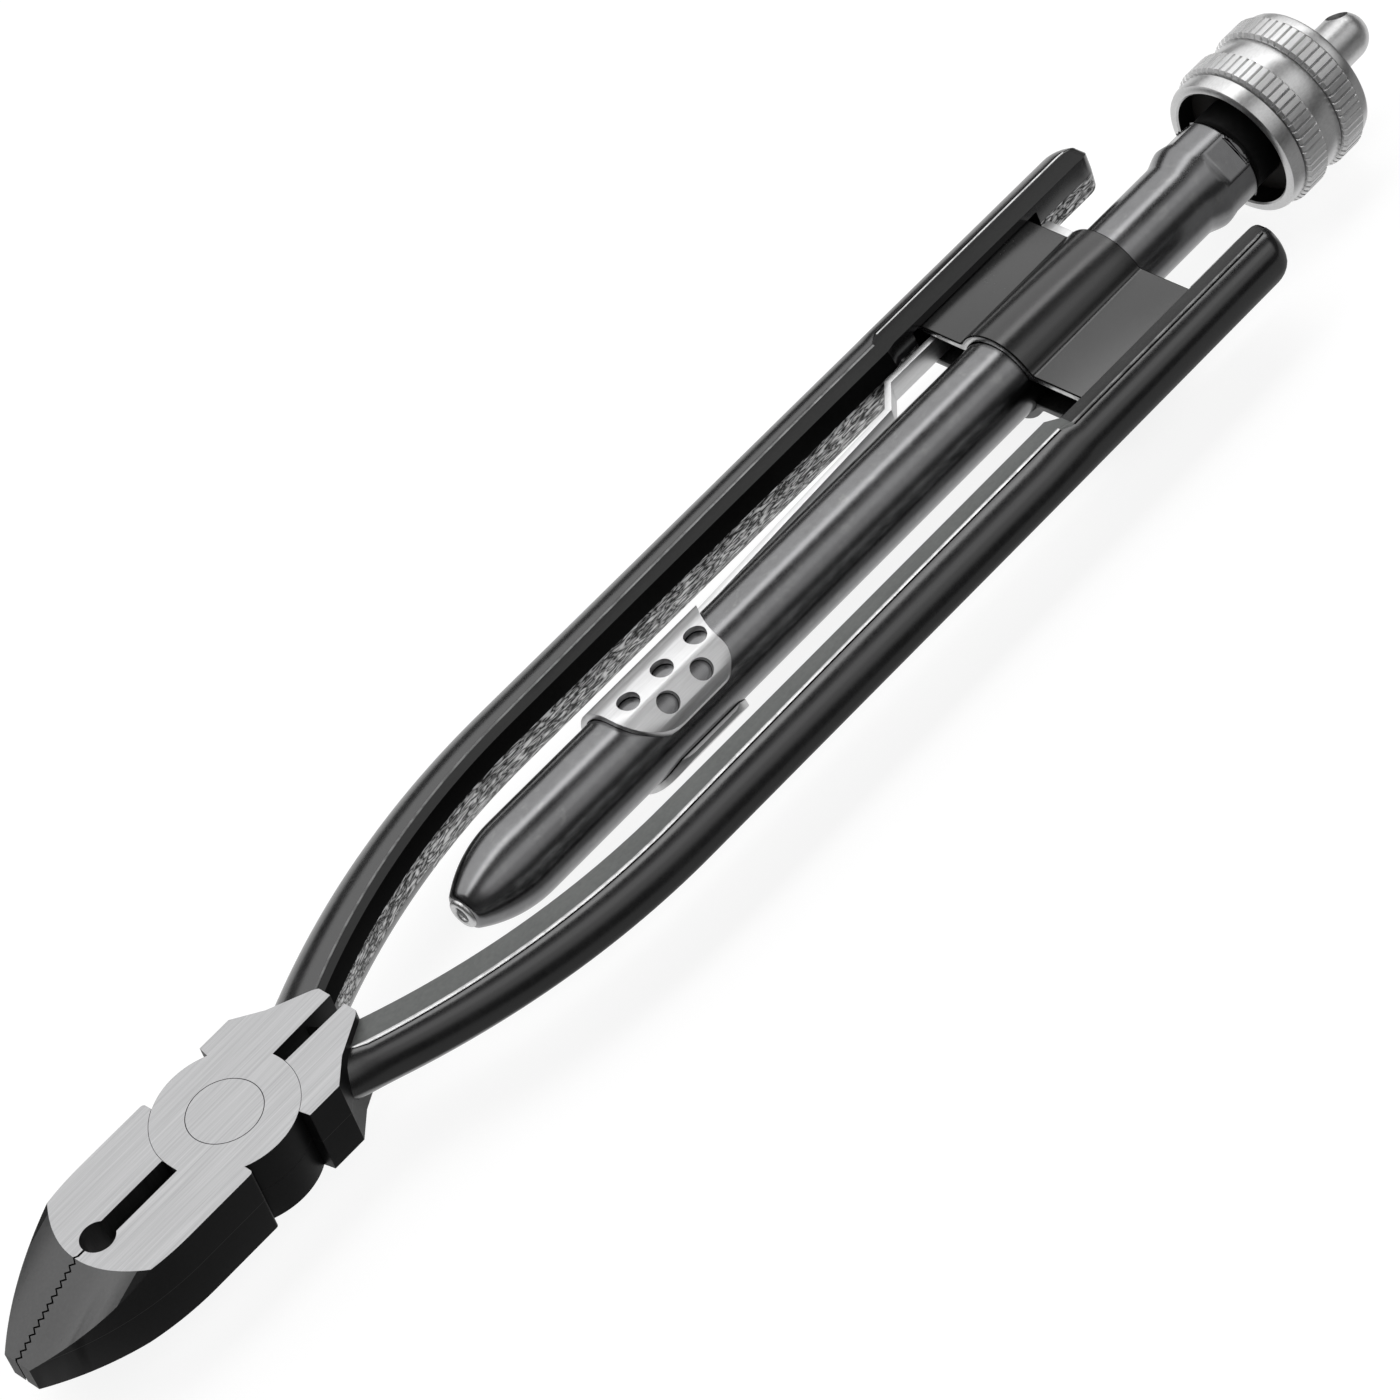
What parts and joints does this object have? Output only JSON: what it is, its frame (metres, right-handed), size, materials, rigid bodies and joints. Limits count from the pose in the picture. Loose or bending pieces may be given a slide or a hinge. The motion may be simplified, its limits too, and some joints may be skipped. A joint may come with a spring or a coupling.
{
  "type": "lock-wire twisting pliers",
  "caption": "Lock-wire twisting pliers with toothed and cutting lap-joint jaws, bowed black handles and a spiral-drive barrel with a knurled pull knob.",
  "frame": {"origin": "on the jaw pivot axis, at the underside of the head", "axes": "+X from the jaws to the pull knob along the barrel, +Y to the left handle, +Z out of the ground upper face of the head along the pivot"},
  "size_m": [0.2324, 0.038, 0.0202],
  "materials": {
    "forged_black": "gloss black oxide on forged steel, with brushed ground faces on the head and a rough trimmed inner land",
    "bright_steel": "ground bright steel",
    "barrel_black": "gloss black",
    "plate_black": "satin black stamped plate",
    "bronze": "turned bronze, hidden inside",
    "spring_steel": "drawn spring steel, hidden inside",
    "fibre": "dark fibre",
    "knob_alloy": "satin knurled alloy",
    "latch_steel": "polished sheet steel"
  },
  "bodies": {
    "barrel": {"barrel_tube": "barrel_black", "nose_eyelet": "bright_steel", "drive_nut": "bronze", "nut_ring": "spring_steel", "thrust_washer": "spring_steel", "return_spring": "spring_steel", "saddle_upper": "plate_black", "saddle_lower": "plate_black"},
    "lever_left": {"lever_left": "forged_black", "pivot_rivet": "bright_steel"},
    "lever_right": {"lever_right": "forged_black"},
    "seat": {"spring_seat": "bronze"},
    "spindle": {"spindle_stop": "bright_steel", "spindle": "bright_steel", "knob_bumper": "fibre", "knob_shell": "knob_alloy", "knob_bush": "bronze", "hanger_stud": "bright_steel"},
    "latch_left": {"latch_left": "latch_steel"}
  },
  "joints": [
    {"name": "left_handle_open", "type": "hinge", "parent": "barrel", "child": "lever_left", "pos_m": [0, 0, 0.0047], "axis": [0, 0, 1], "range_deg": [0, 1.5]},
    {"name": "right_handle_open", "type": "hinge", "parent": "barrel", "child": "lever_right", "pos_m": [0, 0, 0.0047], "axis": [0, 0, 1], "range_deg": [-1.5, 0]},
    {"name": "knob_pull", "type": "slide", "parent": "barrel", "child": "seat", "axis": [1, 0, 0], "range_m": [0, 0.075], "stiffness_N_per_m": 60, "springref_m": -0.02, "deforming": ["return_spring"]},
    {"name": "spindle_turn", "type": "hinge", "parent": "seat", "child": "spindle", "pos_m": [0.06, 0, 0.0047], "axis": [1, 0, 0], "range_deg": [0, 676]},
    {"name": "latch_left_slide", "type": "slide", "parent": "barrel", "child": "latch_left", "axis": [1, 0, 0], "range_m": [0, 0.004]}
  ],
  "couplings": [
    {"joint": "right_handle_open", "follows": "left_handle_open", "ratio": -1},
    {"joint": "spindle_turn", "follows": "knob_pull", "rad_per_m": 157.08}
  ]
}
